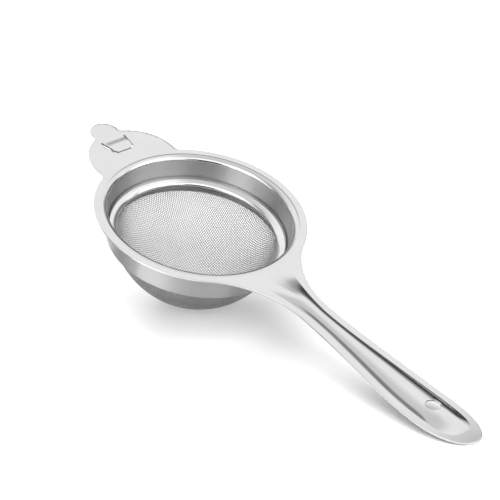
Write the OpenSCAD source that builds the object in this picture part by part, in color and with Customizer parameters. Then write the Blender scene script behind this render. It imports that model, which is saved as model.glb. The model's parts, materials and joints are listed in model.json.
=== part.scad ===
// Tea strainer: a stamped sheet frame with an ear and a hollow-backed handle,
// a dome of wire cloth, and the bead ring that clamps the cloth in the frame.
// The part stands as it rests on a table, on the dome and the handle's tip.

/* [Sheet and rim] */
// Outer diameter of the rim
rim_d = 80; // [74:1:90]
// Width of the flat rim
rim_w = 3.6; // [3.2:0.1:5]
// Thickness of the frame's sheet
sheet_t = 0.7; // [0.5:0.05:0.9]
// Radius of the rolled edge between the rim and the wall
roll_r = 1.6; // [1.2:0.1:2.2]

/* [Bowl wall] */
// Depth of the steel wall below the rim
wall_depth = 13; // [12:0.2:16]
// Taper of the wall in degrees
wall_taper = 8; // [4:1:12]
// Inner radius of the bend at the foot of the wall
foot_bend = 0.5; // [0.3:0.1:1]
// Width of the lip that carries the cloth
lip_w = 1.7; // [1.5:0.1:2.4]

/* [Retaining ring] */
// Half width of the ring, which is rounded at its top
bead_r = 1.15; // [1:0.05:1.3]
// Height of the ring's straight inner side
bead_h = 1.6; // [1:0.1:1.8]

/* [Mesh basket] */
// Thickness of the wire cloth
mesh_t = 0.5; // [0.4:0.05:0.6]
// Depth of the dome below the lip
mesh_depth = 25.8; // [18:0.2:32]
// Fullness of the dome's side: 2 is an ellipse, less is more conical
mesh_power = 1.62; // [1.5:0.02:2.4]

/* [Ear] */
// Radius of the ear's broad lobe
ear_r = 17.8; // [15:0.2:21]
// Distance of the broad lobe's centre inside the rim's edge
ear_inset = 1; // [0:0.2:3]
// Radius of the small end tab
tab_r = 5.8; // [4.5:0.1:7]
// Distance of the tab's centre beyond the rim's edge
tab_out = 17.4; // [16:0.2:20]
// Radius of the hollow corner where the lobe leaves the rim
ear_fillet = 2.5; // [1:0.5:4]
// Radius of the hollow corner where the tab leaves the lobe
tab_fillet = 1.2; // [0.8:0.2:2]

/* [Tongue] */
// Length of the lanced tongue
tongue_len = 7.2; // [6:0.2:9]
// Half width of the tongue at its root
tongue_root = 5.3; // [4.5:0.1:6]
// Half width of the tongue near its free end
tongue_tip = 4.4; // [3.6:0.1:4.5]
// Width of the cut round the tongue
tongue_gap = 0.35; // [0.3:0.05:0.6]
// Height of the arch in the tongue
tongue_rise = 0.3; // [0.1:0.1:1.6]

/* [Handle outline] */
// Distance of the handle's tip from the bowl's axis
handle_reach = 152.2; // [142:0.2:165]
// Half width of the handle at its waist
waist_w = 6.5; // [5.5:0.1:7.5]
// Radius of the hollow curve from the rim to the waist
neck_r = 40; // [32:1:46]
// Half width of the handle at its palm
palm_w = 10.2; // [9:0.1:12]
// Length of the rounded end beyond the palm
end_len = 22.2; // [19:0.2:26]
// Distance from the bowl's axis where the handle starts to sweep up
sweep_start = 105; // [95:1:115]
// Radius of the upward sweep
sweep_r = 330; // [300:10:600]

/* [Handle spine] */
// Height of the raised spine over its half width
spine_share = 0.396; // [0.3:0.01:0.44]
// Half width of the spine at the waist
spine_waist = 3.8; // [3.6:0.1:4.2]
// Half width of the spine at the palm
spine_palm = 7.5; // [7.2:0.1:8]
// Half width of the spine where it fades out at the rim
spine_root = 9.6; // [7:0.2:10]
// Radius of the hollow corner along the foot of the spine
spine_foot = 0.9; // [0.7:0.1:1]
// Distance from the end of the spine to the tip of the handle
spine_end_gap = 6.6; // [6:0.2:8]

/* [Hang hole] */
// Radius of the hang hole
hole_r = 2.9; // [2.5:0.1:3]
// Distance of the hole's centre from the handle's tip
hole_back = 23; // [22:0.1:25]

/* [Hidden] */
$fn = 96;

rim_r = rim_d / 2;
flat_r = rim_r - rim_w;
tau = wall_taper;

// Wall: start below the rolled edge, and the bend at its foot
wall_r0 = flat_r - roll_r * cos(tau);
wall_z0 = -roll_r + roll_r * sin(tau);
bend_z = -wall_depth + sheet_t + foot_bend;
wall_run = (wall_z0 + foot_bend * sin(tau) - bend_z) / cos(tau);
bend_r = wall_r0 - wall_run * sin(tau) - foot_bend * cos(tau);
lip_r = bend_r - lip_w;
lip_z = -wall_depth + sheet_t;

// Mesh: brim on the lip, then a dome that hangs through the lip
brim_gap = 0.02;
brim_z = lip_z + brim_gap;
mesh_r = lip_r - 0.15;
mesh_bottom = brim_z - mesh_depth;

// Ring: a rounded band on a narrow foot that stands on the brim
ring_foot_z = brim_z + mesh_t + brim_gap;
ring_z0 = ring_foot_z + 1.7;
ring_z1 = ring_z0 + bead_h;
ring_c1 = wall_r0 - (wall_z0 - ring_z1) * tan(tau) - bead_r / cos(tau) - 0.05;
ring_c0 = ring_c1 - bead_h * tan(tau);

// Neck: an arc that touches the rim's circle and the waist line
neck_x = sqrt(pow(rim_r + neck_r, 2) - pow(waist_w + neck_r, 2));
neck_y = waist_w + neck_r;
neck_a = atan2(neck_y, neck_x);
palm_x = handle_reach - end_len;
spine_end = handle_reach - spine_end_gap;
root_x = rim_r + 0.4;

// Rest pose: the dome's underside and the handle's tip both touch the table
tip_z = lift(handle_reach) - sheet_t;
function low(a) = max([for (t = [0:1:90]) dome_r(t) * sin(a) - dome_z(t) * cos(a)]);
function gap(a) = low(a) - (handle_reach * sin(a) - tip_z * cos(a));
function solve(a, b, n) = n == 0 ? (a + b) / 2
  : gap((a + b) / 2) > 0 ? solve((a + b) / 2, b, n - 1) : solve(a, (a + b) / 2, n - 1);
tilt = solve(5, 30, 24);
rest_z = low(tilt);
ear_end = rim_r + tab_out + tab_r;
x_low = -ear_end * cos(tilt) - sheet_t * sin(tilt);
x_high = handle_reach * cos(tilt) + lift(handle_reach) * sin(tilt);
rest_x = -(x_low + x_high) / 2;

// Small helpers
function mix(a, b, k) = a + (b - a) * k;
function clamp(k) = min(max(k, 0), 1);
function ease(k) = clamp(k) * clamp(k) * (3 - 2 * clamp(k));
function arc(cx, cy, r, a0, a1, n) =
  [for (i = [0:n]) [cx + r * cos(mix(a0, a1, i / n)), cy + r * sin(mix(a0, a1, i / n))]];
function lift(x) = x < sweep_start ? 0
  : sweep_r - sqrt(pow(sweep_r, 2) - pow(x - sweep_start, 2));

// Dome: outer surface by angle from the brim down to the bottom
function dome_r(t) = mesh_r * pow(cos(t), 2 / mesh_power);
function dome_z(t) = brim_z - mesh_depth * pow(sin(t), 2 / mesh_power);

module pose() {
  translate([rest_x, 0, rest_z])
    rotate([0, tilt, 0])
      children();
}

// Section of rim, rolled edge, wall and lip
module wall_section() {
  polygon(concat(
    [[rim_r, 0]],
    arc(flat_r, -roll_r, roll_r, 90, 180 - tau, 8),
    arc(bend_r, bend_z, foot_bend, 360 - tau, 270, 5),
    [[lip_r, lip_z]],
    [[lip_r, lip_z - sheet_t]],
    arc(bend_r, bend_z, foot_bend + sheet_t, 270, 360 - tau, 6),
    arc(flat_r, -roll_r, roll_r - sheet_t, 180 - tau, 90, 6),
    [[rim_r, -sheet_t]]
  ));
}

// Hollow corner of radius f between two circles on the X axis
module corner(x1, r1, x2, r2, f) {
  d = abs(x2 - x1);
  dir = x2 > x1 ? 1 : -1;
  a = r1 + f;
  b = r2 + f;
  k = (d * d + a * a - b * b) / (2 * d);
  h = sqrt(a * a - k * k);
  for (m = [-1, 1])
    difference() {
      polygon([[x1, 0], [x1 + dir * k, m * h], [x2, 0]]);
      translate([x1 + dir * k, m * h])
        circle(r = f);
    }
}

lobe_x = -(rim_r - ear_inset);
tab_x = -(rim_r + tab_out);
tongue_x0 = -(rim_r + 12.6);
tongue_x1 = tongue_x0 + tongue_len;

module ear_outline() {
  difference() {
    union() {
      translate([lobe_x, 0])
        circle(r = ear_r);
      translate([tab_x, 0])
        circle(r = tab_r);
      corner(lobe_x, ear_r, tab_x, tab_r, tab_fillet);
      corner(0, rim_r, lobe_x, ear_r, ear_fillet);
    }
    circle(r = rim_r - 1.5);
  }
}

module tongue_outline(g) {
  polygon([
    [tongue_x0 - (g > 0 ? 0 : 0.6), -tongue_root - g],
    [tongue_x1 - 1.2, -tongue_tip - g],
    [tongue_x1 + g, -tongue_tip + 1.2 - g * 0.4],
    [tongue_x1 + g, tongue_tip - 1.2 + g * 0.4],
    [tongue_x1 - 1.2, tongue_tip + g],
    [tongue_x0 - (g > 0 ? 0 : 0.6), tongue_root + g]
  ]);
}

// Height of the tongue's upper side along its length
function tongue_z(k) = tongue_rise * pow(sin(180 * clamp(k)), 2);

module tongue() {
  top = [for (i = [-2:24]) [tongue_x0 + tongue_len * i / 24, tongue_z(i / 24)]];
  bottom = [for (i = [24:-1:-2]) [tongue_x0 + tongue_len * i / 24, tongue_z(i / 24) - sheet_t]];
  intersection() {
    translate([0, 0, -4])
      linear_extrude(8)
        tongue_outline(0);
    rotate([90, 0, 0])
      translate([0, 0, -9])
        linear_extrude(18)
          polygon(concat(top, bottom));
  }
}

module ear() {
  difference() {
    translate([0, 0, -sheet_t])
      linear_extrude(sheet_t)
        ear_outline();
    translate([0, 0, -2])
      linear_extrude(4)
        tongue_outline(tongue_gap);
    for (m = [-1, 1])
      translate([tongue_x1 + 0.1, m * (tongue_tip - 1.2), -2])
        cylinder(r = 0.55, h = 4, $fn = 24);
  }
  tongue();
}

// Flat root of the handle, out to where the spine starts to rise
module neck_plate() {
  translate([0, 0, -sheet_t])
    linear_extrude(sheet_t)
      difference() {
        intersection() {
          polygon([[0, 0], [neck_x, neck_y], [neck_x, -neck_y]]);
          translate([rim_r / 2, -rim_r])
            square([root_x - rim_r / 2, rim_d]);
        }
        for (m = [-1, 1])
          translate([neck_x, m * neck_y])
            circle(r = neck_r, $fn = 180);
        circle(r = rim_r - 1.5);
      }
}

// Handle: stations from the root to the tip, each as
// [x, half width, spine half width, half width of its flat, spine height]
NECK_N = 14;
MID_N = 16;
END_N = 16;
skin = 0.005;

function spine_half(x) =
  x < neck_x + 3 ? mix(spine_root, spine_waist, 1 - pow(clamp((neck_x + 3 - x) / (neck_x + 3 - flat_r)), 1.6))
  : x < palm_x - 2 ? mix(spine_waist, spine_palm, ease((x - neck_x - 3) / (palm_x - 5 - neck_x)))
  : spine_palm * pow(max(1 - pow(clamp((x - palm_x + 2) / (spine_end - palm_x + 2)), 3), 0.000002), 1 / 3);
// Height of the spine: a share of its half width, blended into a slow start and a slow end
function spine_rise(x, s) =
  let (start = 4.5 * ease((x - root_x) / 40) + 0.001)
  let (end = 3.6 * (1 - ease((x - spine_end + 19) / 19)) + 0.001)
  let (side = spine_share * max(s, 0.001))
  pow(pow(start, -4) + pow(end, -4) + pow(side, -4), -0.25);
function station(x, w) =
  let (s = min(spine_half(x), 0.8 * w))
  [x, w - skin, s, 0.12 * s, max(spine_rise(x, s), 0.002 * s)];
function neck_w(x) = neck_y - sqrt(pow(neck_r, 2) - pow(neck_x - x, 2));
function mid_w(x) = mix(waist_w, palm_w, ease((x - neck_x) / (palm_x - neck_x)));

stations = concat(
  [station(root_x - 0.3, neck_w(root_x))],
  [for (i = [0:NECK_N - 1])
    let (x = mix(root_x + 0.5, neck_x, i / NECK_N))
    station(x, neck_w(x))],
  [for (i = [0:MID_N - 1])
    let (x = mix(neck_x, palm_x, i / MID_N))
    station(x, mid_w(x))],
  [for (i = [0:END_N])
    let (a = 87.5 * i / END_N)
    station(palm_x + end_len * pow(sin(a) / sin(87.5), 0.94), palm_w * pow(cos(a), 0.94))]
);

// Half of one section from the foot side to the centre: [y, z, slope]
FOOT_N = 3;
CROWN_N = 6;
function half_section(st) =
  let (s = st[2])
  let (f = st[3])
  let (h = st[4])
  let (q = s - f)
  let (rf = min(spine_foot, 0.3 * q))
  let (rc = (q * q + h * h - 2 * rf * h) / (2 * h))
  let (a = acos(clamp((rf - h + rc) / (rc + rf))))
  concat(
    [[st[1], 0, 0], [mix(st[1], s, 0.5), 0, 0]],
    [for (i = [0:FOOT_N]) let (t = a * i / FOOT_N) [s - rf * sin(t), rf - rf * cos(t), t]],
    [for (i = [1:CROWN_N]) let (t = a * (1 - i / CROWN_N)) [f + rc * sin(t), h - rc + rc * cos(t), t]]
  );
function section(st) =
  let (half = half_section(st))
  let (n = len(half))
  concat(
    [for (p = half) [-p[0], p[1], -p[2]]],
    [[0, st[4], 0]],
    [for (i = [n - 1:-1:0]) half[i]]
  );
// Point of a section in space, moved down its normal by d
function place(st, p, d) =
  [st[0], p[0] - d * sin(p[2]), p[1] - d * cos(p[2]) + lift(st[0])];

module handle_sheet() {
  secs = [for (st = stations) section(st)];
  m = len(secs[0]);
  ring = 2 * m;
  n = len(stations);
  points = [for (i = [0:n - 1]) for (j = [0:ring - 1])
    place(stations[i], secs[i][j < m ? j : ring - 1 - j], j < m ? skin : sheet_t - skin)];
  sides = [for (i = [0:n - 2]) for (j = [0:ring - 1])
    let (a = i * ring + j)
    let (b = i * ring + (j + 1) % ring)
    each [[a, b, b + ring], [a, b + ring, a + ring]]];
  caps = [for (e = [0, n - 1]) for (j = [0:m - 2])
    let (a = e * ring + j)
    let (b = a + 1)
    let (c = e * ring + ring - 2 - j)
    let (d = c + 1)
    each (e == 0 ? [[a, c, b], [a, d, c]] : [[a, b, c], [a, c, d]])];
  polyhedron(points = points, faces = concat(sides, caps), convexity = 6);
}

hole_x = handle_reach - hole_back;
hole_slope = asin((hole_x - sweep_start) / sweep_r);

module frame_pressing() {
  color([0.78, 0.79, 0.80])
    pose()
      difference() {
        union() {
          rotate_extrude()
            wall_section();
          ear();
          neck_plate();
          handle_sheet();
        }
        translate([hole_x, 0, lift(hole_x) + spine_rise(hole_x, spine_palm)])
          rotate([0, -hole_slope, 0])
            cylinder(r = hole_r, h = 8, center = true);
      }
}

module retaining_ring() {
  color([0.88, 0.88, 0.89])
    pose()
      rotate_extrude()
        polygon(concat(
          arc(ring_c1, ring_z1, bead_r, -tau, 180 - tau, 14),
          arc(ring_c0, ring_z0, bead_r, 180 - tau, 240, 5),
          [[ring_c0 - bead_r / 2, ring_foot_z], [ring_c0 + bead_r * 0.8, ring_foot_z]],
          arc(ring_c0, ring_z0, bead_r, 325, 360 - tau, 3)
        ));
}

module mesh_basket() {
  outer = [for (t = [0:4:88]) [dome_r(t), dome_z(t)]];
  inner = [for (t = [88:-4:0])
    [dome_r(t) * (1 - mesh_t / mesh_r), brim_z + mesh_t + (dome_z(t) - brim_z) * (1 - mesh_t / mesh_depth)]];
  color([0.62, 0.63, 0.64])
    pose()
      rotate_extrude()
        polygon(concat(
          [[bend_r - 0.1, brim_z + mesh_t], [bend_r - 0.1, brim_z]],
          outer,
          [[0, mesh_bottom], [0, mesh_bottom + mesh_t]],
          inner
        ));
}

frame_pressing();
retaining_ring();
mesh_basket();
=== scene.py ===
"""Looks of the tea strainer: the stamped frame, the bead ring and the woven cloth.

Shapes are worked out in millimetres in the rim's own frame: z = 0 is the rim's top, the bowl's
axis is at the origin and +X runs along the handle. The record's cup_seat mount then places them,
in metres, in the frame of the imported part.
"""

import functools
import json
import math

import bmesh
import bpy
import numpy as np
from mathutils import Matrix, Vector
from mathutils.geometry import delaunay_2d_cdt


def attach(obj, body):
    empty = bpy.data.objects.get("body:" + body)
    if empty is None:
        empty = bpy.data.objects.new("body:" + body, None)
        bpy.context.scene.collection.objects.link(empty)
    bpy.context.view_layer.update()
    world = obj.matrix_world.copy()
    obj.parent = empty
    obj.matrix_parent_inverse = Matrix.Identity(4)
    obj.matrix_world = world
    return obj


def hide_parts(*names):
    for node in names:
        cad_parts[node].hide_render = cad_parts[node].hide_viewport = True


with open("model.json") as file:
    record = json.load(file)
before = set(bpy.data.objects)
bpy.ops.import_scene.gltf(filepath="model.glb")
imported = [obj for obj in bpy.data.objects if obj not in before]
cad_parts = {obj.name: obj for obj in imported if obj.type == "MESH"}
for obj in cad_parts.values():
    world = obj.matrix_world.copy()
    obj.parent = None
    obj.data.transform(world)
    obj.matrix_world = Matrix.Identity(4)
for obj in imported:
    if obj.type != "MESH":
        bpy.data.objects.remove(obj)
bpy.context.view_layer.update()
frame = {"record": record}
PI = math.pi

# ---------------------------------------------------------------- rest pose, from the record
seat = next(m for m in frame["record"]["mounts"] if m["name"] == "cup_seat")
UP = -Vector(seat["axis"]).normalized()
TILT = math.atan2(UP.x, UP.z)
TURN = np.array([[math.cos(TILT), 0, math.sin(TILT)], [0, 1, 0], [-math.sin(TILT), 0, math.cos(TILT)]])
SEAT_IN_RIM = np.array([0, 0.0385, -0.0007])        # the mount in the rim's frame, in metres
ORIGIN = np.array(seat["pos_m"]) - TURN @ SEAT_IN_RIM


def placed(points):
    """Points of the rim's frame in mm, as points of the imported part's frame in metres."""
    return np.asarray(points, float) @ TURN.T * 0.001 + ORIGIN


# ---------------------------------------------------------------- sizes in mm
T = 0.7                                    # sheet
RIM, FLAT, ROLL = 40.0, 36.4, 1.6          # rim, its flat's inner border and the rolled edge
TAU = math.radians(8)                      # taper of the wall
WALL = 13.0                                # depth of the wall
FOOT_BEND = 0.5
LIP = 1.7                                  # width of the lip that carries the cloth
EDGE = 0.16                                # rounding of a cut edge
HOLE_EDGE = 0.14                           # and of the hang hole's
TONGUE_EDGE = 0.07                         # and of the tongue's cut
wall_r0 = FLAT - ROLL * math.cos(TAU)
wall_z0 = -ROLL + ROLL * math.sin(TAU)
bend_z = -WALL + T + FOOT_BEND
wall_run = (wall_z0 + FOOT_BEND * math.sin(TAU) - bend_z) / math.cos(TAU)
bend_r = wall_r0 - wall_run * math.sin(TAU) - FOOT_BEND * math.cos(TAU)
lip_r = bend_r - LIP
lip_z = -WALL + T
sheet_r = RIM - EDGE                       # where the rim's rounded cut edge starts

BRIM_Z = lip_z + 0.02                      # underside of the cloth's brim
CLOTH = 0.5                                # thickness of the cloth
DOME_R, DOME_H, DOME_P = lip_r - 0.15, 25.8, 1.62    # radius, depth and fullness of the dome
PITCH, WIRE = 0.8, 0.28                    # of the woven wires
WIRE_SIDES, WIRE_SAMPLES = 5, 2            # sides of a wire, samples to a pitch

ring_foot = BRIM_Z + CLOTH + 0.02
RING_TOP = -7.6
RING_NOSE = 0.4                            # radius of its outer round
# run in mm and the slope in degrees that it ends with
RING_SHOULDER = ((1.0, 8), (1.7, 29), (0.8, 52), (0.9, 90))

REACH, END = 152.2, 22.2                   # handle
NECK_R, WAIST, PALM = 40.0, 6.5, 10.2
END_POWER = 0.94                           # fullness of its rounded end
DROP_X, DROP_R = 105.0, 330.0              # where it starts to curve up, and the curve's radius
neck_x = math.sqrt((RIM + NECK_R) ** 2 - (WAIST + NECK_R) ** 2)
neck_y = WAIST + NECK_R
neck_a = math.atan2(neck_y, neck_x)
palm_x = REACH - END
root_x = RIM + 0.4
spine_end = REACH - 6.6
SPINE_ROOT, SPINE_WAIST, SPINE_PALM = 9.6, 3.8, 7.5      # half widths
SPINE_FLAT = 0.12                          # half width of the crown's flat, as a share of the spine's
SPINE_SHARE = 0.396                        # height at most, as a share of the half width
SPINE_START = (4.5, 40)                    # height at most, and run in mm from the root
SPINE_STOP = (3.6, 19)                     # the same at the tip
SPINE_FOOT = 0.9                           # radius of the round at its foot
HOLE_X, HOLE_R = REACH - 23.0, 2.9
HOLE_SQUARE = 3.3                          # half side of the grid's square round the hole

# the tongue's root, length, half widths, gap, rise, and how far the near slot is pressed open
TONGUE_X0, TONGUE_L, TONGUE_W0, TONGUE_W1 = -52.6, 7.2, 5.3, 4.4
GAP, TONGUE_RISE, SLOT_OPEN = 0.35, 0.3, 0.45


def ease(k):
    """Smooth step from 0 to 1."""
    k = np.clip(k, 0, 1)
    return k * k * (3 - 2 * k)


def mix(a, b, k):
    """From a at k = 0 to b at k = 1."""
    return a + (b - a) * k


def arc(cx, cy, r, a0, a1, n):
    """Points of an arc from a0 to a1 degrees."""
    a = np.radians(np.linspace(a0, a1, n + 1))
    return [(cx + r * math.cos(t), cy + r * math.sin(t)) for t in a]


def lift(x):
    """How far the handle has curved up at x."""
    x = np.maximum(x, DROP_X)
    return DROP_R - np.sqrt(DROP_R ** 2 - (x - DROP_X) ** 2)


def lift_slope(x):
    """Slope of that curve at x."""
    x = max(x - DROP_X, 0)
    return x / math.sqrt(DROP_R ** 2 - x ** 2)


# ---------------------------------------------------------------- spine of the handle
def half_width(x):
    """Half width of the handle's outline."""
    x = np.asarray(x, float)
    neck = neck_y - np.sqrt(np.maximum(NECK_R ** 2 - (neck_x - np.clip(x, 30, neck_x)) ** 2, 0))
    middle = mix(WAIST, PALM, ease((x - neck_x) / (palm_x - neck_x)))
    a = np.arcsin(np.clip((x - palm_x) / END, 0, 1) ** (1 / END_POWER))
    end = PALM * np.cos(a) ** END_POWER
    return np.where(x < neck_x, neck, np.where(x < palm_x, middle, end))


def spine(x):
    """Half width, half width of the flat, and height of the spine."""
    x = np.asarray(x, float)
    wide = np.clip((neck_x + 3 - x) / (neck_x + 3 - FLAT), 0, 1)
    near = mix(SPINE_ROOT, SPINE_WAIST, 1 - wide ** 1.6)
    middle = mix(SPINE_WAIST, SPINE_PALM, ease((x - neck_x - 3) / (palm_x - 5 - neck_x)))
    last = np.clip((x - palm_x + 2) / (spine_end - palm_x + 2), 0, 1)
    end = SPINE_PALM * np.maximum(1 - last ** 3, 2e-6) ** (1 / 3)
    half = np.where(x < neck_x + 3, near, np.where(x < palm_x - 2, middle, end))
    s = np.minimum(half, 0.8 * half_width(x))
    start = SPINE_START[0] * ease((x - root_x) / SPINE_START[1]) + 1e-3
    stop = SPINE_STOP[0] * (1 - ease((x - spine_end + SPINE_STOP[1]) / SPINE_STOP[1])) + 1e-3
    side = SPINE_SHARE * np.maximum(s, 1e-3)
    h = (start ** -4.0 + stop ** -4.0 + side ** -4.0) ** -0.25
    return s, SPINE_FLAT * s, np.where(h < 2e-3, 0, h)


def section(x, least):
    """Numbers of the spine's cross section at x, which is at least so high.

    They are the half width, the flat's half width and the height, as spine() gives them; then the radius
    of the foot's round, the height used, the crown's radius, and the slope where round and crown meet.
    """
    s, f, h = spine(x)
    q = s - f
    rf = np.minimum(SPINE_FOOT, 0.3 * q)
    hh = np.maximum(h, least)
    rc = (q * q + hh * hh - 2 * rf * hh) / (2 * hh)
    a = np.arccos(np.clip((rf - hh + rc) / (rc + rf), -1, 1))
    return s, f, h, rf, hh, rc, a


def height(x, y):
    """Height of the handle's top over the rim's plane."""
    x, y = np.broadcast_arrays(np.asarray(x, float), np.abs(y))
    s, f, h, rf, hh, rc, a = section(x, 1e-4)
    foot = rf - np.sqrt(np.maximum(rf ** 2 - np.clip(s - y, 0, rf) ** 2, 0))
    crown = hh - rc + np.sqrt(np.maximum(rc ** 2 - np.maximum(y - f, 0) ** 2, 0))
    z = np.where(y >= s, 0, np.where(y >= s - rf * np.sin(a), foot, crown))
    return np.where(h <= 1e-4, 0, z) + lift(x)


def foot_lines(x):
    """Where the foot's round starts and ends, as half widths at x."""
    s, _, _, rf, _, _, a = section(x, 0.02)
    return s, s - rf * np.sin(a)


def top_and_under(x, y):
    """Points of the sheet's upper and lower side over plan points of the handle."""
    x, y = np.asarray(x, float), np.asarray(y, float)
    d = 0.02
    z = height(x, y)
    nx = -(height(x + d, y) - height(x - d, y)) / (2 * d)
    ny = -(height(x, y + d) - height(x, y - d)) / (2 * d)
    n = np.stack([nx, ny, np.ones_like(nx)], -1)
    n /= np.linalg.norm(n, axis=-1, keepdims=True)
    top = np.stack([x, y, z], -1)
    return top, top - T * n


# ---------------------------------------------------------------- mesh helpers
class Build:
    """Collects vertices in mm and faces, and makes one clean mesh of them."""

    def __init__(self):
        self.co, self.faces = [], []

    def add(self, points):
        """Adds vertices and returns the first one's index."""
        start = len(self.co)
        self.co.extend(map(tuple, np.asarray(points, float).reshape(-1, 3)))
        return start

    def grid(self, points, wrap_u=False, wrap_v=False, skip=None):
        """Quads over an (n, m, 3) array of points."""
        p = np.asarray(points, float)
        n, m = p.shape[:2]
        s = self.add(p)
        for i in range(n if wrap_u else n - 1):
            for j in range(m if wrap_v else m - 1):
                if skip is None or not skip(i, j):
                    row, i1, j1 = s + i * m, s + (i + 1) % n * m, (j + 1) % m
                    self.faces.append((row + j, row + j1, i1 + j1, i1 + j))

    def mesh(self, name, merge=2e-6, kind=None):
        """One mesh of all faces. kind gives a face's material slot by its middle and unit normal."""
        me = bpy.data.meshes.new(name)
        me.from_pydata([tuple(c) for c in placed(self.co)], [], self.faces)
        if kind:
            co = np.array(self.co)
            index = []
            for f in self.faces:
                corner = co[list(f)]
                n = np.cross(corner[2] - corner[0], corner[-1] - corner[1])
                index.append(kind(corner.mean(axis=0), n / max(np.linalg.norm(n), 1e-12)))
            me.polygons.foreach_set("material_index", index)
        bm = bmesh.new()
        bm.from_mesh(me)
        bmesh.ops.remove_doubles(bm, verts=bm.verts, dist=merge)
        bmesh.ops.dissolve_degenerate(bm, edges=bm.edges, dist=merge / 4)
        bmesh.ops.recalc_face_normals(bm, faces=bm.faces)
        for f in bm.faces:
            f.smooth = True
        bm.to_mesh(me)
        bm.free()
        return me


def swept(section_points, angles):
    """Points of a section of (radius, z) at each angle round the bowl's axis."""
    sec = np.array(section_points)
    cos, sin = np.cos(angles)[:, None], np.sin(angles)[:, None]
    z = np.broadcast_to(sec[None, :, 1], (len(angles), len(sec)))
    return np.stack([sec[None, :, 0] * cos, sec[None, :, 0] * sin, z], -1)


def make_piece(name, mesh, node, slot_name, *materials):
    """An object of the mesh that stands for a CAD node and wears the given materials; slot_name is not used.
    """
    ob = bpy.data.objects.new(name, mesh)
    bpy.context.scene.collection.objects.link(ob)
    for material in materials:
        ob.data.materials.append(material)
    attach(ob, "root")
    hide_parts(node)


# ---------------------------------------------------------------- outline of the sheet
def handle_rows():
    """Rows across the handle, each as (x of its middle, border point, border normal)."""
    rows = []
    for k in np.linspace(0, 1, 56):
        a = mix(PI + neck_a, 1.5 * PI, k)
        u = np.array([math.cos(a), math.sin(a)])
        rows.append((mix(sheet_r, neck_x, k), (neck_x, neck_y) + NECK_R * u, -u))
    stops = (neck_x, HOLE_X - HOLE_SQUARE, HOLE_X + HOLE_SQUARE, spine_end - 6.2, spine_end + 0.4)
    d = 0.01
    for x0, x1, count in zip(stops, stops[1:], (83, 12, 11, 33)):
        for x in np.linspace(x0, x1, count + 1)[1:]:
            slope = float(half_width(x + d) - half_width(x - d)) / (2 * d)
            normal = np.array([-slope, 1]) / math.hypot(slope, 1)
            rows.append((x, np.array([x, float(half_width(x))]), normal))
    return rows


def handle_grid():
    """Plan points (rows, columns) of the handle from the rim's edge to the tip, and its outline.

    The outline is the true one, as (point, outward normal); the grid stops short by the edge's round.
    """
    xb0, yb0 = sheet_r * math.cos(neck_a), sheet_r * math.sin(neck_a)
    # shares of the columns: middle of the crown, crown, foot, border
    middle_k, crown_k, foot_k = (np.linspace(0, 1, count + 1)[1:] for count in (6, 14, 6))
    border_k = np.array([0.02, 0.06, 0.14, 0.28, 0.45, 0.64, 0.82, 0.94, 1.0])
    i1 = 1 + len(middle_k)
    i2 = i1 + len(crown_k)
    i3 = i2 + len(foot_k)
    middle = 0.45                           # of the half width, that the middle's columns span
    rows = handle_rows()
    grid = []
    for xc, border, n in rows:
        bx, by = border - EDGE * n
        x = np.full(i3 + len(border_k), xc)
        for _ in range(12):                 # the columns bow with the rim, so x and y settle together
            s, c = foot_lines(x)
            y = np.concatenate([
                [0], middle * s[1:i1] * middle_k, mix(middle * s[i1:i2], c[i1:i2], crown_k),
                mix(c[i2:i3], s[i2:i3], foot_k), mix(s[i3:], by, border_k)])
            bow = (sheet_r - np.sqrt(sheet_r ** 2 - (yb0 * (y / by)) ** 2)) / (sheet_r - xb0)
            x = xc - (xc - bx) * bow
        x[-1], y[-1] = bx, by
        grid.append(np.concatenate([np.stack([x, -y], -1)[:0:-1], np.stack([x, y], -1)]))

    # the flat end: rows that turn from the last straight one into the outline
    last = grid[-1]
    a_end = PI / 2 - math.asin(((rows[-1][0] - palm_x) / END) ** (1 / END_POWER))
    tip = []
    for k in (last[:, 1] / last[-1, 1] + 1) / 2:
        a = mix(-a_end, a_end, k)           # 0 is the tip
        b = PI / 2 - abs(a)
        y = PALM * max(math.cos(b), 0) ** END_POWER
        tip.append((palm_x + END * math.sin(b) ** END_POWER, y if a >= 0 else -y))
    tip = np.array(tip)
    t = np.gradient(tip, axis=0)
    n = np.stack([t[:, 1], -t[:, 0]], -1)
    n /= np.linalg.norm(n, axis=1, keepdims=True)
    n[-1] = rows[-1][2]
    n[0] = n[-1] * (1, -1)
    grid += [mix(last, tip - EDGE * n, k) for k in np.linspace(0, 1, 17)[1:]]
    right = [(border, normal) for _, border, normal in rows]
    left = [(border * (1, -1), normal * (1, -1)) for border, normal in right]
    return np.array(grid), left + list(zip(tip, n))[1:-1] + right[::-1]


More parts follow.
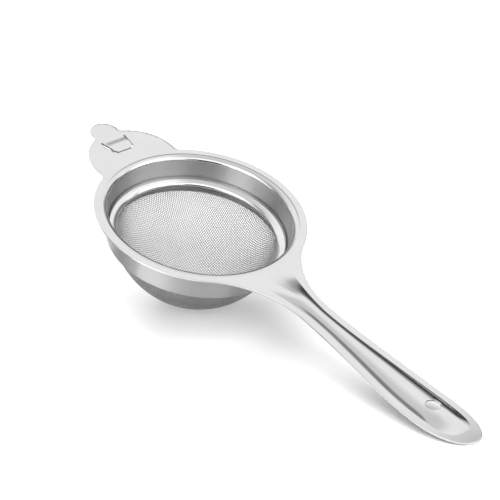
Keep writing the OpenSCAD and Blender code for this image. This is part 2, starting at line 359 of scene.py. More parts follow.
def ear_outline():
    """The ear's outline from the rim's circle round to it again, as (point, outward normal)."""
    lobe, lobe_r, tab, tab_r = -39.0, 17.8, -57.4, 5.8      # centre and radius of each round
    f1, f2 = 2.5, 1.2                       # hollow corners at the rim and at the tab
    x1 = -((RIM + f1) ** 2 - (lobe_r + f1) ** 2 + lobe ** 2) / (-2 * lobe)
    c1 = np.array([x1, math.sqrt((RIM + f1) ** 2 - x1 ** 2)])
    d = lobe - tab
    k = (d * d + (lobe_r + f2) ** 2 - (tab_r + f2) ** 2) / (2 * d)
    c2 = np.array([lobe - k, math.sqrt((lobe_r + f2) ** 2 - k * k)])
    cl, ct = np.array([lobe, 0.0]), np.array([tab, 0.0])
    half = []

    def angle(v):
        return math.atan2(v[1], v[0])

    def convex(c, r, a0, a1, n, out=1):
        for a in np.linspace(a0, a1, n + 1)[(1 if half else 0):]:
            u = np.array([math.cos(a), math.sin(a)])
            half.append((c + r * u, u * out))

    def hollow(c, r, a0, a1, n):
        convex(c, r, a0, a0 - (a0 - a1) % (2 * PI), n, -1)

    hollow(c1, f1, angle(-c1), angle(cl - c1), 8)
    convex(cl, lobe_r, angle(c1 - cl), angle(c2 - cl), 34)
    hollow(c2, f2, angle(cl - c2), angle(ct - c2), 6)
    convex(ct, tab_r, angle(c2 - ct), PI, 26)
    return half + [(p * (1, -1), n * (1, -1)) for p, n in half[-2::-1]]


def tongue_height(x):
    """Height of the arched tongue at x."""
    return TONGUE_RISE * np.sin(PI * np.clip((x - TONGUE_X0) / TONGUE_L, 0, 1)) ** 2


def tongue_normal(x):
    """Upward normal of the tongue at x."""
    d = 0.01
    dz = (tongue_height(x + d) - tongue_height(x - d)) / (2 * d)
    return np.array([-dz, 0, 1]) / math.hypot(dz, 1)


def corner_path(points, radii, n=4):
    """A polyline with its inner corners rounded, as (point, normal to the left of travel)."""
    pts = [np.array(p, float) for p in points]
    out = []

    def left(v):
        return np.array([-v[1], v[0]])

    for i, p in enumerate(pts):
        if i in (0, len(pts) - 1) or radii[i] == 0:
            v = (pts[1] - pts[0]) if i == 0 else (p - pts[i - 1])
            v = v / np.linalg.norm(v)
            out.append((p, left(v)))
            continue
        a, b = pts[i - 1] - p, pts[i + 1] - p
        la, lb = np.linalg.norm(a), np.linalg.norm(b)
        a, b = a / la, b / lb
        turn = math.acos(max(-1, min(1, float(a @ b))))
        d = min(radii[i] / math.tan(turn / 2), 0.45 * la, 0.45 * lb)
        r = d * math.tan(turn / 2)
        bis = (a + b) / np.linalg.norm(a + b)
        c = p + bis * r / math.sin(turn / 2)
        n0, n1 = left(-a), left(b)
        side = 1 if float((c - p) @ n0) < 0 else -1
        t0, t1 = math.atan2(*(n0 * side)[::-1]), math.atan2(*(n1 * side)[::-1])
        dt = (t1 - t0 + PI) % (2 * PI) - PI
        for k in np.linspace(0, 1, n + 1):
            u = np.array([math.cos(t0 + dt * k), math.sin(t0 + dt * k)])
            out.append((c + r * u, u * side))
    return out


def edge_strip(build, border, z_of, normal_of=None, edge=EDGE, closed=False, steps=3):
    """The rounded cut edge along a border given as (point, outward plan normal)."""
    rows = []
    for p, n in border:
        inner = p - edge * n
        z = z_of(inner)
        up = np.array([0, 0, 1.0]) if normal_of is None else normal_of(inner)
        out = np.array([n[0], n[1], 0])
        out = out - up * float(out @ up)
        out /= np.linalg.norm(out)
        top = np.array([inner[0], inner[1], z])
        row = [top + edge * (math.cos(a) * out + (math.sin(a) - 1) * up)
               for a in np.linspace(PI / 2, 0, steps + 1)]
        row += [top + edge * math.cos(a) * out + (edge * (math.sin(a) + 1) - T) * up
                for a in np.linspace(0, -PI / 2, steps + 1)]
        row[0] = top
        row[-1] = top - T * up
        rows.append(row)
    build.grid(rows, wrap_u=closed)


def flat_fill(build, loops, inside, spacing=1.1, clear=0.5):
    """Triangles of the flat sheet, upper and lower side, between closed loops of plan points.

    Inner points lie a spacing apart and stay clear of the loops.
    """
    pts, edges = [], []
    for loop in loops:
        s = len(pts)
        pts += [Vector((float(p[0]), float(p[1]))) for p in loop]
        edges += [(s + i, s + (i + 1) % len(loop)) for i in range(len(loop))]
    lo = np.min([list(p) for p in pts], axis=0)
    hi = np.max([list(p) for p in pts], axis=0)
    ring = np.array([list(p) for p in pts])
    for x in np.arange(lo[0], hi[0], spacing):
        for y in np.arange(lo[1], hi[1], spacing):
            if inside(np.array([x, y])) and np.min(np.hypot(ring[:, 0] - x, ring[:, 1] - y)) > clear:
                pts.append(Vector((float(x), float(y))))
    co, _, faces, *_ = delaunay_2d_cdt(pts, edges, [], 0, 1e-7)
    plan = np.array([list(c) for c in co])
    keep = [f for f in faces if inside(plan[list(f)].mean(axis=0))]
    for dz in (0.0, -T):
        s = build.add([(x, y, dz) for x, y in plan])
        build.faces += [tuple(s + i for i in f) for f in keep]


def in_polygon(loop):
    """A test of whether a point lies inside a closed loop."""
    xs, ys = np.array([p[0] for p in loop]), np.array([p[1] for p in loop])
    xe, ye = np.roll(xs, -1), np.roll(ys, -1)

    def test(p):
        cross = (ys > p[1]) != (ye > p[1])
        with np.errstate(divide="ignore", invalid="ignore"):
            at = xs + (p[1] - ys) * (xe - xs) / (ye - ys)
        return bool(np.count_nonzero(cross & (p[0] < at)) % 2)

    return test


def flat(_):
    """Height of the flat sheet."""
    return 0.0


def add_handle(b):
    """The handle with its hang hole. Returns the angles at which its grid meets the rim."""
    plan, border = handle_grid()
    top, under = top_and_under(plan[..., 0], plan[..., 1])
    mid = plan.shape[1] // 2
    low, high = mid - 6, mid + 6            # columns and rows of the square round the hole
    first = int(np.argmin(np.abs(plan[:, mid, 0] - (HOLE_X - HOLE_SQUARE))))
    last = first + 12

    def in_hole(i, j):
        return first <= i < last and low <= j < high

    def normal(p):
        slope = lift_slope(p[0])
        return np.array([-slope, 0, 1]) / math.hypot(slope, 1)

    b.grid(top, skip=in_hole)
    b.grid(under, skip=in_hole)
    edge_strip(b, border, lambda p: float(lift(p[0])), normal)

    # rings from the square to the hole's rounded edge
    square = [(last, j) for j in range(low, high)] + [(i, high) for i in range(last, first, -1)]
    square += [(first, j) for j in range(high, low, -1)] + [(i, low) for i in range(first, last)]
    corners = np.array([plan[i, j] for i, j in square])
    way = corners - (HOLE_X, 0)
    way /= np.linalg.norm(way, axis=1, keepdims=True)
    rings = np.array([corners] + [(HOLE_X, 0) + way * r for r in (HOLE_SQUARE, 3.17, HOLE_R + HOLE_EDGE)])
    top, under = top_and_under(rings[..., 0], rings[..., 1])
    up = normal((HOLE_X, 0))
    out = np.concatenate([way, np.zeros((len(way), 1))], 1)
    wall = []
    for a in np.linspace(PI / 2, 0, 4)[1:]:
        wall.append(top[-1] - HOLE_EDGE * out * math.cos(a) - HOLE_EDGE * up * (1 - math.sin(a)))
    for a in np.linspace(0, PI / 2, 4)[:-1]:
        wall.append(under[-1] - HOLE_EDGE * out * math.cos(a) + HOLE_EDGE * up * (1 - math.sin(a)))
    b.grid(np.concatenate([top, wall, under[::-1]]), wrap_v=True)
    return np.arctan2(plan[0][:, 1], plan[0][:, 0])


def add_ear(b):
    """The ear's sheet and the cut round the tongue. Returns the angles at which it meets the rim."""
    ear = ear_outline()
    ear_in = np.array([p - EDGE * n for p, n in ear])
    a_in, a_out = [math.atan2(*ear_in[i][::-1]) % (2 * PI) for i in (0, -1)]
    angles = np.linspace(a_out, a_in, 40)   # along the rim's circle, back to the start
    chord = np.array([(sheet_r * math.cos(a), sheet_r * math.sin(a)) for a in angles])
    outer = np.concatenate([ear_in, chord[1:-1]])

    # the cut's outer side, travelled with the sheet on the right, so the left normal points into the cut
    x0, x1 = TONGUE_X0, TONGUE_X0 + TONGUE_L
    w0, w1, g, e = TONGUE_W0, TONGUE_W1, GAP, TONGUE_EDGE
    cut = [(x0, -w0 - g), (x0 + 1.6, -w0 - g - SLOT_OPEN + 0.1), (x0 + 3.4, -w0 - g - SLOT_OPEN + 0.3),
           (x1 - 1.2, -w1 - g), (x1 + g + 0.1, -w1 + 0.95), (x1 + g, -w1 + 1.5), (x1 + g, w1 - 1.5),
           (x1 + g + 0.1, w1 - 0.95), (x1 - 1.2, w1 + g), (x0, w0 + g)]
    hole = corner_path(cut, [0, 0.8, 0.8, 0.3, 0.25, 0.2, 0.2, 0.25, 0.3, 0])
    ends = []                               # round ends of the cut beside the tongue's root
    for s in (1, -1):
        ends.append([(np.array([x0 - g / 2 * math.sin(a), s * (w0 + g / 2 + g / 2 * math.cos(a))]),
                      np.array([math.sin(a), -s * math.cos(a)])) for a in np.linspace(0, PI, 7)])
    # closed inner loop: cut, its end at +Y, root line, its end at -Y
    cut_in, end_a, end_b = (np.array([p - e * n for p, n in path]) for path in (hole, *ends))
    root_line = np.array([(x0, y) for y in np.linspace(w0 - e, -w0 + e, 13)])
    inner = np.concatenate([cut_in, end_a[1:-1], root_line, end_b[::-1][1:-1]])
    in_outer, in_inner = in_polygon(outer), in_polygon(inner)
    flat_fill(b, [outer, inner], lambda p: in_outer(p) and not in_inner(p))
    edge_strip(b, ear, flat)
    for path in (hole, *ends):
        edge_strip(b, path, flat, edge=e)
    return angles


def add_tongue(b):
    """The tongue: rows along it, columns across, and its own rounded edge."""
    x0, x1, w0, w1, e = TONGUE_X0, TONGUE_X0 + TONGUE_L, TONGUE_W0, TONGUE_W1, TONGUE_EDGE
    corners = [(x0, w0), (x1 - 1.2, w1), (x1, w1 - 1.2), (x1, -w1 + 1.2), (x1 - 1.2, -w1), (x0, -w0)]
    outline = corner_path(corners, [0, 0.4, 0.5, 0.5, 0.4, 0])
    side = np.array([p - e * n for p, n in outline if p[1] > 0])
    stations = np.unique(np.concatenate([np.linspace(x0, x1 - 1.3, 22), side[1:, 0]]))
    stations = stations[np.concatenate([[True], np.diff(stations) > 1e-4])]
    order = np.argsort(side[:, 0])
    widths = np.interp(stations, side[order, 0], side[order, 1])
    top, under = [], []
    for x, w in zip(stations, widths):
        row = np.array([(x, y, float(tongue_height(x))) for y in np.linspace(w, -w, 13)])
        top.append(row)
        under.append(row - T * tongue_normal(x))
    top = np.array(top)
    b.grid(top)
    b.grid(under)
    rim = np.concatenate([top[:, 0], top[-1, 1:-1], top[::-1, -1]])[:, :2]
    way = np.gradient(rim, axis=0)
    normal = np.stack([-way[:, 1], way[:, 0]], -1)
    normal /= np.linalg.norm(normal, axis=1, keepdims=True)
    edge_strip(b, [(p + e * n, n) for p, n in zip(rim, normal)],
               lambda p: float(tongue_height(p[0])), lambda p: tongue_normal(p[0]), edge=e)


def rim_section():
    """Rim, rolled edge, wall, bend and lip as (radius, z): along the top, round the lip and back."""
    top_r, top_z = bend_r + FOOT_BEND * math.cos(TAU), bend_z - FOOT_BEND * math.sin(TAU)
    ox, oz = T * math.cos(TAU), -T * math.sin(TAU)
    lip_edge = 0.15
    sec = [(sheet_r, 0), (39.6, 0), (39.0, 0), (38, 0), (37.45, 0)]
    sec += [(37.25, 0.02), (36.85, 0.125), (36.65, 0.145), (36.4, 0.11)]     # a low line beside the roll
    sec += arc(FLAT, -ROLL, ROLL, 102, 172, 18)
    sec += [(mix(wall_r0, top_r, k), mix(wall_z0, top_z, k))
            for k in (0.03, 0.1, 0.25, 0.4, 0.55, 0.7, 0.85, 0.95)]
    sec += arc(bend_r, bend_z, FOOT_BEND, 352, 270, 8) + [(lip_r + 0.9, lip_z), (lip_r + 0.25, lip_z)]
    sec += arc(lip_r + lip_edge, lip_z - lip_edge, lip_edge, 90, 180, 4)
    sec += arc(lip_r + lip_edge, lip_z - T + lip_edge, lip_edge, 180, 270, 4)
    sec += [(lip_r + 0.25, lip_z - T), (lip_r + 0.9, lip_z - T)]
    sec += arc(bend_r, bend_z, FOOT_BEND + T, 270, 352, 10)
    sec += [(mix(top_r, wall_r0, k) + ox, mix(top_z, wall_z0, k) + oz)
            for k in (0.05, 0.15, 0.3, 0.45, 0.6, 0.75, 0.9, 0.97)]
    sec += arc(FLAT, -ROLL, ROLL - T, 172, 90, 12)
    return sec + [(36.7, -T), (37.2, -T), (38, -T), (39, -T), (39.6, -T), (sheet_r, -T)]


def add_rim(b, neck_angles, ear_angles):
    """The bowl's section swept round its axis, and the rim's cut edge where neither ear nor handle is."""
    a_out, a_in = ear_angles[0], ear_angles[-1]
    free_a = np.linspace(neck_a, a_in, 118)[1:-1]
    free_b = np.linspace(a_out, 2 * PI - neck_a, 118)[1:-1]
    b.grid(swept(rim_section(), np.concatenate([neck_angles, free_a, ear_angles[::-1], free_b])), wrap_u=True)
    for stretch in ([neck_a, *free_a, a_in], [a_out, *free_b, 2 * PI - neck_a]):
        around = [np.array([math.cos(a), math.sin(a)]) for a in stretch]
        edge_strip(b, [(RIM * u, u) for u in around], flat)


def frame_kind(c, n):
    """Material slot: 0 the polished top, 1 the drawn wall, whose darker colour is painted shade, 2 the
    sheared faces of the tongue's cut, painted near black for the shade in the slot.
    """
    if c[2] < wall_z0 and math.hypot(c[0], c[1]) < FLAT - 0.2:
        return 1
    beside = TONGUE_X0 - 1 < c[0] < TONGUE_X0 + TONGUE_L + 1 and abs(c[1]) < TONGUE_W0 + 1.2
    return 2 if beside and abs(n[2]) < 0.7 else 0


def frame_mesh():
    """The whole pressing as one mesh."""
    b = Build()
    neck_angles = add_handle(b)
    ear_angles = add_ear(b)
    add_tongue(b)
    add_rim(b, neck_angles, ear_angles)
    return b.mesh("frame_sheet", kind=frame_kind)


def ring_mesh():
    """A rolled ring: a groove off the wall, a broad shoulder sloping inwards, a tight nose and a foot."""
    b = Build()

    def wall(z):
        return wall_r0 - (wall_z0 - z) * math.tan(TAU) - 0.05

    sec = [(wall(ring_foot + 0.1), ring_foot + 0.1)]
    sec += [(wall(z), z) for z in np.linspace(ring_foot + 0.6, RING_TOP - 2.2, 4)]
    sec += [(wall(RING_TOP - 1.9) - 0.12, RING_TOP - 1.9), (wall(RING_TOP - 1.4) - 0.4, RING_TOP - 1.5)]
    sec += arc(wall(RING_TOP - 0.6) - 0.8, RING_TOP - RING_NOSE, RING_NOSE, 0, 84, 8)
    # the shoulder: short steps from the top to the nose, by the slope they reach
    slope, at, steps = -6.0, np.array(sec[-1]), 6
    for length, to in RING_SHOULDER:
        for k in np.linspace(0, 1, steps + 1)[1:]:
            a = math.radians(mix(slope, to, k))
            at = at + (length / steps) * np.array([-math.cos(a), -math.sin(a)])
            sec.append(tuple(at))
        slope = to
    # back under the nose and down the foot
    sec += [(at[0] + dx, at[1] - dz) for dx, dz in ((0.06, 0.22), (0.24, 0.4), (0.55, 0.52), (0.86, 0.66))]
    sec += [(at[0] + 0.92, ring_foot + 0.3), (at[0] + 0.95, ring_foot), (wall(ring_foot) - 0.25, ring_foot)]
    b.grid(swept(sec, np.linspace(0, 2 * PI, 361)[:-1]), wrap_u=True, wrap_v=True)
    return b.mesh("bead_ring")


# ---------------------------------------------------------------- woven cloth
HALF = CLOTH / 2
DOME_A, DOME_B = DOME_R - HALF, DOME_H - HALF      # the cloth's middle surface


def dome_f(p):
    """Implicit dome and its gradient; p is relative to the middle of the brim, z downwards positive."""
    r = math.hypot(p[0], p[1])
    z = max(p[2], 1e-9)
    k = DOME_P
    value = (r / DOME_A) ** k + (z / DOME_B) ** k - 1
    gr = k * max(r, 1e-9) ** (k - 1) / DOME_A ** k
    gz = k * z ** (k - 1) / DOME_B ** k
    u = (p[0] / r, p[1] / r) if r > 1e-9 else (0.0, 0.0)
    return value, (gr * u[0], gr * u[1], gz)


def net_node(a, b, c):
    """The point of the dome at one pitch from both a and b, across from c, by Newton's method."""
    p = [a[i] + b[i] - c[i] for i in range(3)]
    for _ in range(14):
        f3, g3 = dome_f(p)
        da = [p[i] - a[i] for i in range(3)]
        db = [p[i] - b[i] for i in range(3)]
        rhs = np.array([PITCH ** 2 - sum(d * d for d in da), PITCH ** 2 - sum(d * d for d in db), -f3])
        jac = np.array([[2 * d for d in da], [2 * d for d in db], g3])
        try:
            step = np.linalg.solve(jac, rhs)
        except np.linalg.LinAlgError:
            return None
        size = float(np.abs(step).max())
        if size > 0.6:
            step *= 0.6 / size
        p = [p[i] + float(step[i]) for i in range(3)]
        if size < 1e-7:
            break
    else:
        return None
    return p if p[2] > -0.2 else None


def main_wire(direction):
    """Nodes down one meridian from the pole, one pitch apart."""
    t = np.linspace(PI / 2, 0, 4001)
    r = DOME_A * np.cos(t) ** (2 / DOME_P)
    z = DOME_B * np.sin(t) ** (2 / DOME_P)
    s = np.concatenate([[0], np.cumsum(np.hypot(np.diff(r), np.diff(z)))])
    count = int(s[-1] / PITCH)
    rr, zz = np.interp(np.arange(count + 1) * PITCH, s, r), np.interp(np.arange(count + 1) * PITCH, s, z)
    return [[rr[i] * direction[0], rr[i] * direction[1], zz[i]] for i in range(count + 1)]


def net():
    """Every node of the cloth by (i, j), as wires of equal pitch settle on the dome."""
    along, across = main_wire((1, 0)), main_wire((0, 1))
    quarter = {(i, 0): p for i, p in enumerate(along)}
    quarter.update({(0, j): p for j, p in enumerate(across)})
    for i in range(1, len(along) + 16):
        for j in range(1, len(across) + 16):
            around = [quarter.get(k) for k in ((i - 1, j), (i, j - 1), (i - 1, j - 1))]
            p = net_node(*around) if all(around) else None
            if p:
                quarter[(i, j)] = p
    # the other quarters mirror the first
    return {(qx * i, qy * j): [qx * p[0], qy * p[1], p[2]]
            for qx, qy in ((1, 1), (1, -1), (-1, 1), (-1, -1)) for (i, j), p in quarter.items()}


def tubes(build, wires, radius, sides):
    """Closed round tubes along polylines, each (points, surface normals)."""
    ang = np.linspace(0, 2 * PI, sides, endpoint=False) + PI / sides
    for pts, nor in wires:
        t = np.gradient(pts, axis=0)
        t /= np.linalg.norm(t, axis=1, keepdims=True)
        side = np.cross(t, nor)
        side /= np.linalg.norm(side, axis=1, keepdims=True)
        up = np.cross(side, t)
        cos, sin = np.cos(ang)[None, :, None], np.sin(ang)[None, :, None]
        s = build.add(pts[:, None] + radius * (cos * side[:, None] + sin * up[:, None]))
        last = s + (len(pts) - 1) * sides
        for row in range(s, last, sides):
            for j in range(sides):
                k = (j + 1) % sides
                build.faces.append((row + j, row + k, row + sides + k, row + sides + j))
        build.faces.append(tuple(range(s, s + sides))[::-1])
        build.faces.append(tuple(range(last, last + sides)))


def longest_run(keys, axis):
    """The longest row of neighbours along one axis of the net."""
    runs = [keys[:1]]
    for k in keys[1:]:
        if k[axis] == runs[-1][-1][axis] + 1:
            runs[-1].append(k)
        else:
            runs.append([k])
    return max(runs, key=len)


def wire(nodes, run, family, number):
    """One wire through its nodes, over and under those it crosses, as (points, surface normals)."""
    crossed = np.array([k[1 - family] for k in run], float)
    at = np.linspace(0, len(run) - 1, WIRE_SAMPLES * (len(run) - 1) + 1)
    q = smooth_through(np.array([nodes[k] for k in run], float), at)
    g = np.array([dome_f(x)[1] for x in q])
    g /= np.linalg.norm(g, axis=1, keepdims=True)
    phase = np.interp(at, np.arange(len(crossed)), crossed) + number
    wave = WIRE / 2 * np.cos(PI * phase) * (1 if family == 0 else -1)
    q, g = with_tails(q + g * wave[:, None], g)
    q[:, 2] = BRIM_Z - q[:, 2]
    g[:, 2] *= -1
    return q, g


def cloth_meshes():
    """The two sets of wires, one mesh each."""
    nodes = net()
    span = max(max(abs(i), abs(j)) for i, j in nodes)
    made = []
    for family in (0, 1):
        wires = []
        for number in range(-span, span + 1):
            keys = sorted(k for k in nodes if k[family] == number)
            run = longest_run(keys, 1 - family)
            if len(run) >= 3:
                wires.append(wire(nodes, run, family, number))
        b = Build()
        tubes(b, wires, WIRE / 2, WIRE_SIDES)
        me = bpy.data.meshes.new("cloth")
        me.from_pydata([tuple(c) for c in placed(b.co)], [], b.faces)
        me.polygons.foreach_set("use_smooth", [True] * len(me.polygons))
        me.update()
        made.append(me)
    return made


def smooth_through(p, at):
    """Catmull-Rom curve through p, read at fractional places."""
    i = np.clip(at.astype(int), 0, len(p) - 2)
    k = (at - i)[:, None]
    p0 = np.where((i > 0)[:, None], p[np.maximum(i - 1, 0)], 2 * p[i] - p[i + 1])
    p3 = np.where((i < len(p) - 2)[:, None], p[np.minimum(i + 2, len(p) - 1)], 2 * p[i + 1] - p[i])
    p1, p2 = p[i], p[i + 1]
    square, cube = 2 * p0 - 5 * p1 + 4 * p2 - p3, 3 * p1 - p0 - 3 * p2 + p3
    return 0.5 * (2 * p1 + (p2 - p0) * k + square * k ** 2 + cube * k ** 3)


def with_tails(q, g):
    """Each end of a wire turned outwards over the lip and under the ring."""
    down = np.array([0, 0, 1.0])
    for _ in range(2):
        end, r = q[-1], math.hypot(q[-1][0], q[-1][1])
        if r > 0.8 * DOME_A:
            u = np.array([end[0] / r, end[1] / r, 0])
            steps = ((r + 0.02, min(end[2], 0.35) * 0.4), (DOME_R + 0.1, -0.2),
                     (DOME_R + 0.6, -HALF), (DOME_R + 1.5, -HALF))
            tail = [u * tail_r + down * tail_z for tail_r, tail_z in steps if tail_r > r]
            q = np.concatenate([q, tail])
            g = np.concatenate([g, [u, (u + down) / math.sqrt(2), down, down][-len(tail):]])
        q, g = q[::-1], g[::-1]
    return q.copy(), g.copy()


# ---------------------------------------------------------------- materials
def node(nt, kind, **values):
    """A new node with some of its sockets or properties set."""
    n = nt.nodes.new(kind)
    for k, v in values.items():
        if k in n.inputs:
            n.inputs[k].default_value = v
        else:
            setattr(n, k, v)
    return n


def maths(nt, operation, *args, clamp=False):
    """The output of a Math node; each argument is a number or another node's output."""
    n = nt.nodes.new("ShaderNodeMath")
    n.operation, n.use_clamp = operation, clamp
    for socket, a in zip(n.inputs, args):
        if isinstance(a, (int, float)):
            socket.default_value = a
        else:
            nt.links.new(a, socket)
    return n.outputs[0]


def rim_coordinates(nt):
    """Coordinates in mm in the rim's own frame."""
    place = node(nt, "ShaderNodeTexCoord")
    turn = node(nt, "ShaderNodeMapping", Rotation=(0, -TILT, 0), Scale=(1000, 1000, 1000),
                Location=-1000 * (TURN.T @ ORIGIN))
    nt.links.new(place.outputs["Object"], turn.inputs["Vector"])
    return turn.outputs[0]


def noise(nt, where, size, detail=2.0, stretch=(1, 1, 1)):
    """Noise with features of a size in mm, drawn out along an axis where its stretch is above 1."""
    m = node(nt, "ShaderNodeMapping", Scale=[1 / (size * k) for k in stretch])
    nt.links.new(where, m.inputs["Vector"])
    n = node(nt, "ShaderNodeTexNoise", Scale=1.0, Detail=detail)
    nt.links.new(m.outputs[0], n.inputs["Vector"])
    return n.outputs[0]


def even_ramp(nt, value, low, high):
    """A colour that goes from low to high as a noise value goes over its usual range."""
    ramp = node(nt, "ShaderNodeValToRGB")
    nt.links.new(value, ramp.inputs[0])
    for el, at, colour in zip(ramp.color_ramp.elements, (0.3, 0.7), (low, high)):
        el.position, el.color = at, (*colour, 1)
    return ramp.outputs[0]


def new_material(name):
    """A material, its node tree and its shader."""
    m = bpy.data.materials.new(name)
    m.use_nodes = True
    return m, m.node_tree, m.node_tree.nodes["Principled BSDF"]


def steel(name, base, rough, tone=0.04, spread=0.03, relief=4e-6, turned=False, lines=(60, 1, 1),
          fine=0.16, patch=14.0):
    """Steel with patches of tone and roughness, fine finishing lines and a few handling scratches.

    The lines run round the bowl's axis on turned pieces, and along the stretched axis on the others.
    """
    m, nt, p = new_material(name)
    calc = functools.partial(maths, nt)
    p.inputs["Metallic"].default_value = 1.0
    where = rim_coordinates(nt)
    cloud = noise(nt, where, patch, 3.0)
    if turned:
        split = node(nt, "ShaderNodeSeparateXYZ")
        nt.links.new(where, split.inputs[0])
        x, y, z = split.outputs
        round_line = node(nt, "ShaderNodeCombineXYZ")
        r = calc("SQRT", calc("ADD", calc("POWER", x, 2.0), calc("POWER", y, 2.0)))
        nt.links.new(r, round_line.inputs["X"])
        nt.links.new(z, round_line.inputs["Z"])
        line = noise(nt, round_line.outputs[0], fine, 2.0)
    else:
        line = noise(nt, where, fine, 2.0, lines)
    grain = noise(nt, where, 0.3, 1.0)
    peaks = calc("SUBTRACT", noise(nt, where, 0.35, 3.0, (25, 1, 1)), 0.66, clamp=True)
    scratch = calc("MULTIPLY", peaks, 4.0, clamp=True)

    mixed = calc("ADD", calc("MULTIPLY", cloud, 0.6), calc("MULTIPLY", line, 0.4))
    low, high = ([c * k for c in base] for k in (1 - tone, 1 + tone))
    nt.links.new(even_ramp(nt, mixed, low, high), p.inputs["Base Color"])

    wave = calc("SUBTRACT", calc("ADD", cloud, calc("MULTIPLY", line, 0.6)), 0.8)
    level = calc("ADD", calc("MULTIPLY", wave, 2 * spread), rough)
    nt.links.new(calc("ADD", level, calc("MULTIPLY", scratch, 3 * spread)), p.inputs["Roughness"])

    rise = calc("ADD", calc("MULTIPLY", line, 0.6), calc("MULTIPLY", grain, 0.4))
    bump = node(nt, "ShaderNodeBump", Strength=1.0, Distance=relief)
    nt.links.new(calc("SUBTRACT", rise, calc("MULTIPLY", scratch, 0.5)), bump.inputs["Height"])
    nt.links.new(bump.outputs[0], p.inputs["Normal"])
    return m


def spread_down(m):
    """Spreads a drawn wall's highlights down it, across the lines that run round the bowl's axis."""
    nt = m.node_tree
    p = nt.nodes["Principled BSDF"]
    p.inputs["Anisotropic"].default_value = 0.95
    place = node(nt, "ShaderNodeTexCoord")
    arm = node(nt, "ShaderNodeVectorMath", operation="SUBTRACT")
    arm.inputs[1].default_value = ORIGIN
    round_way = node(nt, "ShaderNodeVectorMath", operation="CROSS_PRODUCT")
    round_way.inputs[0].default_value = UP
    geometry = node(nt, "ShaderNodeNewGeometry")
    down_way = node(nt, "ShaderNodeVectorMath", operation="CROSS_PRODUCT")
    nt.links.new(place.outputs["Object"], arm.inputs[0])
    nt.links.new(arm.outputs[0], round_way.inputs[1])
    nt.links.new(geometry.outputs["Normal"], down_way.inputs[0])
    nt.links.new(round_way.outputs[0], down_way.inputs[1])
    nt.links.new(down_way.outputs[0], p.inputs["Tangent"])


def matte(name, grey):
    """Even matte board of the studio, with a trace of mottling."""
    m, nt, p = new_material(name)
    p.inputs["Roughness"].default_value = 0.9
    p.inputs["Specular IOR Level"].default_value = 0.0
    mottling = noise(nt, rim_coordinates(nt), 80.0)
    low, high = ([grey * k] * 3 for k in (0.99, 1.01))
    nt.links.new(even_ramp(nt, mottling, low, high), p.inputs["Base Color"])
    return m


frame_steel = steel("frame_steel", (0.63, 0.63, 0.635), 0.13)
# Drawn wall: its roughness, turned lines and spread highlights are its finish; its base colour, darker than
# the top's steel of the same sheet, is painted shade.
wall_steel = steel("wall_steel", (0.5, 0.5, 0.505), 0.42, relief=2e-6, turned=True)
spread_down(wall_steel)
# Sheared faces of the tongue's cut: their near-black base colour is painted shade, the shade in the slot
# round the tongue.
shaded_cut_steel = steel("shaded_cut_steel", (0.14, 0.14, 0.145), 0.6, tone=0.2, relief=1e-5, lines=(1, 1, 20))
ring_steel = steel("ring_steel", (0.68, 0.68, 0.68), 0.1, spread=0.02, relief=1e-6, turned=True)
wire_steel = steel("wire_steel", (0.415, 0.415, 0.42), 0.35, tone=0.15, spread=0.06, relief=3e-6,
                   lines=(1, 1, 1), fine=0.9, patch=4.0)

make_piece("frame_sheet", frame_mesh(), "frame_pressing", "frame_steel", frame_steel, wall_steel, shaded_cut_steel)
make_piece("bead_ring", ring_mesh(), "retaining_ring", "ring_steel", ring_steel)
for label, me in zip(("cloth_warp", "cloth_weft"), cloth_meshes()):
    make_piece(label, me, "mesh_basket", "wire_cloth", wire_steel)

# ---------------------------------------------------------------- floor and cards
def board(name, corners, material):
    """A flat staged board."""
    me = bpy.data.meshes.new(name)
    me.from_pydata(corners, [], [(0, 1, 2, 3)])
    me.materials.append(material)
    ob = bpy.data.objects.new(name, me)
    bpy.context.scene.collection.objects.link(ob)
    return ob


FLOOR_HALF = 1.1
board("floor", [(x * FLOOR_HALF, y * FLOOR_HALF, 0) for x, y in ((-1, -1), (1, -1), (1, 1), (-1, 1))],
      matte("floor_white", 0.62))

# Boards beside and under the object, kept out of the picture: only its reflections show them. flag_back and
# flag_front are dark studio cards; the two that lie on the floor left of and under the bowl are painted
# shade, a darkened floor for the steel to reflect.
# name, near left, near right, far right and far left corner, grey
CARDS = [
    ("flag_back", (-0.16, 0.085, 0), (0.24, 0.085, 0), (0.24, 0.085, 0.05), (-0.16, 0.085, 0.05), 0.05),
    ("flag_front", (0.02, -0.23, 0.0004), (0.2, -0.1, 0.0004), (0.27, -0.17, 0.07), (0.09, -0.3, 0.07), 0.03),
    # painted shade: a dark sheet on the floor left of the bowl, darkening the floor that the wall reflects
    # there
    ("flag_left", (-0.15, -0.11, 0.0004), (-0.068, -0.11, 0.0004), (-0.062, -0.036, 0.0004),
     (-0.15, -0.036, 0.0004), 0.2),
    # painted shadow: a dark sheet on the floor under the dome, where the floor lies in the dome's shade
    ("flag_under", (-0.1, -0.042, 0.0004), (0.015, -0.042, 0.0004), (0.015, 0.05, 0.0004),
     (-0.1, 0.05, 0.0004), 0.4)]
for card_name, *card_corners, card_grey in CARDS:
    card = board(card_name, card_corners, matte(card_name + "_board", card_grey))
    for seen in ("camera", "diffuse", "shadow", "transmission", "volume_scatter"):
        setattr(card, "visible_" + seen, False)

# ---------------------------------------------------------------- surroundings, lights, camera
FRONT = math.atan2(-0.655, 0.756)          # direction of the camera's side
# share of the half turn from the front horizon over the top to the back one, brightness
TENT = [(0.0, 0.5), (0.015, 0.5), (0.03, 1.75), (0.25, 1.75), (0.36, 0.95), (0.45, 0.88), (0.58, 0.9),
        (0.62, 1.05), (0.68, 1.25), (0.765, 1.25), (0.795, 0.6), (0.84, 0.4), (0.89, 0.12), (1.0, 0.12)]
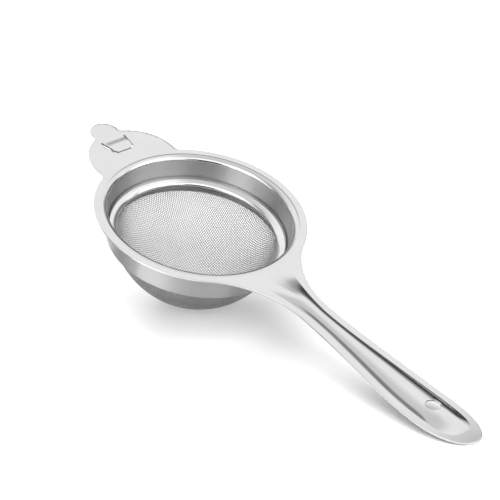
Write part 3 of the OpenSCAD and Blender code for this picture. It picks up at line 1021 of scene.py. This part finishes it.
# azimuth (0 is the front, + is the left), elevation, half width, half height, softness, all in
# degrees, and brightness
FLAGS = [
    (-92, 50, 28, 14, 6, 1.4), (98, 7, 13, 17, 6, 0.08), (138, 4, 26, 14, 8, 0.4), (84, 50, 12, 6, 4, 0.3),
    (38, 25, 12, 22, 6, 2.7), (-72, 25, 16, 22, 6, 2.2), (-125, 10, 12, 12, 5, 0.15),
    (-134, 14, 12, 16, 6, 0.3), (-6, 4, 17, 13, 6, 0.06)]
TENT_SCALE = 2.0                           # keeps the ramp's colours within 1
BACKDROP = 1.0                             # brightness that the camera sees


def studio(nt):
    """A white tent, bright in front and softer behind, with light and dark flags for contrast.

    The camera itself sees a plain pale backdrop instead.
    """
    calc = functools.partial(maths, nt)

    def smooth(value, start, end):
        n = node(nt, "ShaderNodeMapRange", interpolation_type="SMOOTHSTEP")
        nt.links.new(value, n.inputs["Value"])
        n.inputs["From Min"].default_value, n.inputs["From Max"].default_value = start, end
        return n.outputs[0]

    def along(azimuth):
        """How much of the direction points to an azimuth in degrees."""
        t = FRONT - math.radians(azimuth)
        n = node(nt, "ShaderNodeVectorMath", operation="DOT_PRODUCT")
        nt.links.new(ray, n.inputs[0])
        n.inputs[1].default_value = (math.cos(t), math.sin(t), 0)
        return n.outputs["Value"]

    ray = node(nt, "ShaderNodeTexCoord").outputs["Generated"]
    split = node(nt, "ShaderNodeSeparateXYZ")
    nt.links.new(ray, split.inputs[0])
    up = split.outputs["Z"]
    elevation = calc("MULTIPLY", calc("ARCSINE", up), 180 / PI)
    ramp = node(nt, "ShaderNodeValToRGB")
    nt.links.new(calc("DIVIDE", calc("ARCTAN2", up, along(0)), PI), ramp.inputs[0])
    ramp.color_ramp.elements[0].position, ramp.color_ramp.elements[1].position = TENT[0][0], TENT[-1][0]
    for at, _ in TENT[1:-1]:
        ramp.color_ramp.elements.new(at)
    for el, (_, v) in zip(ramp.color_ramp.elements, TENT):
        el.color = (*[v / TENT_SCALE] * 3, 1)
    level = calc("MULTIPLY", ramp.outputs[0], TENT_SCALE)
    for azimuth, elev, half_w, half_h, soft, value in FLAGS:
        turn = calc("ABSOLUTE", calc("ARCTAN2", along(azimuth + 90), along(azimuth)))
        turn = calc("MULTIPLY", turn, 180 / PI)
        rise = calc("ABSOLUTE", calc("SUBTRACT", elevation, elev))
        mask = calc("MULTIPLY", smooth(turn, half_w + soft, half_w), smooth(rise, half_h + soft, half_h))
        rest = calc("MULTIPLY", level, calc("SUBTRACT", 1, mask))
        level = calc("ADD", rest, calc("MULTIPLY", mask, value))
    seen = node(nt, "ShaderNodeLightPath").outputs["Is Camera Ray"]
    level = calc("ADD", calc("MULTIPLY", level, calc("SUBTRACT", 1, seen)), calc("MULTIPLY", seen, BACKDROP))
    nt.nodes["Background"].inputs[0].default_value = (1, 1, 1, 1)
    nt.links.new(level, nt.nodes["Background"].inputs[1])


world = bpy.data.worlds.new("studio")
bpy.context.scene.world = world
world.use_nodes = True
studio(world.node_tree)


def softbox(name, place, side, radiance, aim=(0, 0, 0.02)):
    """A square light that whitens the floor and doesn't show in the steel."""
    light = bpy.data.lights.new(name, "AREA")
    light.shape = "RECTANGLE"
    light.size = light.size_y = side
    light.energy = radiance * PI * side * side
    ob = bpy.data.objects.new(name, light)
    ob.location = place
    ob.rotation_euler = (Vector(aim) - Vector(place)).to_track_quat("-Z", "Y").to_euler()
    ob.visible_glossy = False
    bpy.context.scene.collection.objects.link(ob)


softbox("side_box", (-1.29, 0.77, 1.5), 1.8, 5.5)
softbox("front_box", (1.0, -0.6, 1.7), 1.8, 4.5)

cam = bpy.data.cameras.new("camera")
cam.lens, cam.sensor_width = 288, 36
cam.clip_start, cam.clip_end = 0.1, 20
camera = bpy.data.objects.new("camera", cam)
camera.location = (0.98737, -0.85506, 0.67109)
camera.rotation_euler = [math.radians(a) for a in (64.1418, 0.9715, 49.0832)]
bpy.context.scene.collection.objects.link(camera)
bpy.context.scene.camera = camera
bpy.context.scene.view_settings.view_transform = "Standard"
